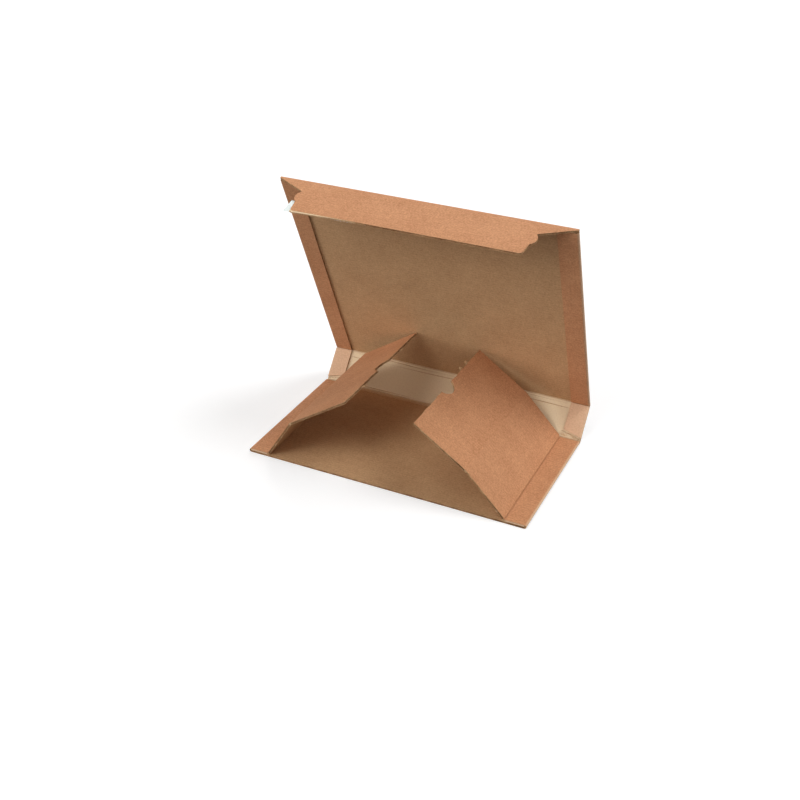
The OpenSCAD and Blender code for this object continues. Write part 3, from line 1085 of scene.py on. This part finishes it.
def tapes():
    """The release liner over the adhesive, and the tear tape beside it, on the closing flap's inner face."""
    low = CLOSING_LENGTH - LINER_SETBACK - LINER_WIDTH
    high = CLOSING_LENGTH - LINER_SETBACK
    ear = PACK_HALF - EAR_INSET
    left = -ear - LINER_GRIP
    right = ear + LINER_SPARE
    liner = Sheetwork("release_paper", CLOSING.place, "silicone_paper")
    columns = [left + CURL_STEP * i for i in range(1, CURL_STEPS)]
    columns += [LINER_COLUMN * i for i in range(-9, 10)]

    def curled(x, y, z):
        """The grip has been bent away from the flap by fingers."""
        free = max(0.0, (-ear - x) / LINER_GRIP)
        lift = CURL_LOW + (1 - CURL_LOW) * (y - low) / LINER_WIDTH
        return (x, y, z + CURL * free ** 2 * lift)
    base = HALF_BOARD + ADHESIVE_THICKNESS
    outline = [
        (left + LINER_SLANT, low), (right, low), (right, low + RELEASE_STEP),
        (right - RELEASE_CUT, low + 2 * RELEASE_STEP), (right - RELEASE_CUT, high), (left, high)]
    inner = [(x, y) for x in columns for y in (low + LINER_WIDTH / 3, low + 2 * LINER_WIDTH / 3)]
    slab(liner, outline, base, base + LINER_THICKNESS, RELEASE, RELEASE, inner, curled, RELEASE)
    made = liner.piece()
    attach(made, "closing_flap")
    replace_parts(made, "release_liner")

    film = Sheetwork("tear_film", CLOSING.place, "tear_tape_film")
    outline = [
        (-TEAR_HALF, TEAR_LINE - TEAR_WIDTH / 2), (TEAR_HALF, TEAR_LINE - TEAR_WIDTH / 2),
        (TEAR_HALF, TEAR_LINE + TEAR_WIDTH / 2), (-TEAR_HALF, TEAR_LINE + TEAR_WIDTH / 2)]
    slab(film, outline, HALF_BOARD, HALF_BOARD + FILM_THICKNESS, FILM, FILM, edge=FILM)
    made = film.piece()
    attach(made, "closing_flap")
    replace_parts(made, "tear_tape")

    bpy.data.objects["adhesive_band"].material_slots[0].material = HOT_MELT


boards()
moving_folds()
tapes()


def to_the_eye(node):
    """1 for what the camera sees straight, or in or through something glossy; 0 for light on things."""
    path = node("ShaderNodeLightPath").outputs
    glossy_or_seen = node.maths("MAXIMUM", path["Is Camera Ray"], path["Is Glossy Ray"])
    return node.maths("MAXIMUM", glossy_or_seen, path["Is Transmission Ray"])


def lamp(name, azimuth, height, energy):
    """A soft distant lamp; azimuth 0 is in front of the pack and 90 on its right."""
    light = bpy.data.lights.new(name, "SUN")
    light.energy = energy
    light.angle = math.radians(LAMP_SPREAD)
    holder = bpy.data.objects.new(name, light)
    bpy.context.scene.collection.objects.link(holder)
    across, up = math.radians(azimuth), math.radians(height)
    source = Vector((math.sin(across) * math.cos(up), -math.cos(across) * math.cos(up), math.sin(up)))
    holder.rotation_euler = source.to_track_quat("Z", "Y").to_euler()


def stage():
    """A plain pale floor and surround, a main lamp on the right and weaker ones around."""
    mesh = bpy.data.meshes.new("floor")
    corners = [(FLOOR_HALF * x, FLOOR_HALF * y, 0) for x, y in ((-1, -1), (1, -1), (1, 1), (-1, 1))]
    mesh.from_pydata(corners, [], [(0, 1, 2, 3)])
    floor = bpy.data.objects.new("floor", mesh)
    floor.location.z = -FLOOR_BELOW * MM
    bpy.context.scene.collection.objects.link(floor)
    material, skin, node = shader("pale_floor")
    seen = to_the_eye(node)
    shade = node.ranged(seen, 0.0, 1.0, FLOOR_FOR_LIGHT, FLOOR_FOR_EYE)
    grey = node("ShaderNodeCombineColor", {0: shade, 1: shade, 2: shade}).outputs[0]
    node.link(grey, skin, "Base Color")
    skin.inputs["Roughness"].default_value = 0.9
    skin.inputs["Specular IOR Level"].default_value = 0.0
    skin.inputs["Emission Color"].default_value = (1, 1, 1, 1)
    node.link(node.maths("MULTIPLY", seen, FLOOR_GLOW), skin, "Emission Strength")
    mesh.materials.append(material)

    world = bpy.data.worlds.new("surround")
    world.use_nodes = True
    bpy.context.scene.world = world
    node = Node(world.node_tree)
    strength = node.ranged(to_the_eye(node), 0.0, 1.0, SURROUND_FOR_LIGHT, 1.0)
    glow = world.node_tree.nodes["Background"]
    node.link(strength, glow, "Strength")
    glow.inputs["Color"].default_value = (1, 1, 1, 1)

    for name, azimuth, height, energy in LAMPS:
        lamp(name, azimuth, height, energy)


def camera():
    """Looks at the pack as the photograph does."""
    place = Vector(CAMERA_PLACE) * MM
    aim = Vector(CAMERA_AIM) * MM
    roll = math.radians(CAMERA_ROLL)
    back = (place - aim).normalized()
    right = Z.cross(back).normalized()
    up = back.cross(right)
    level = right * math.cos(roll) + up * math.sin(roll)
    upright = up * math.cos(roll) - right * math.sin(roll)
    lens = bpy.data.cameras.new("camera")
    lens.lens = LENS
    lens.sensor_width = SENSOR
    lens.clip_start = 0.01
    lens.clip_end = 50
    eye = bpy.data.objects.new("camera", lens)
    bpy.context.scene.collection.objects.link(eye)
    eye.matrix_world = Matrix.Translation(place) @ Matrix((level, upright, back)).transposed().to_4x4()
    bpy.context.scene.camera = eye


stage()
camera()
bpy.context.scene.view_settings.view_transform = "Standard"
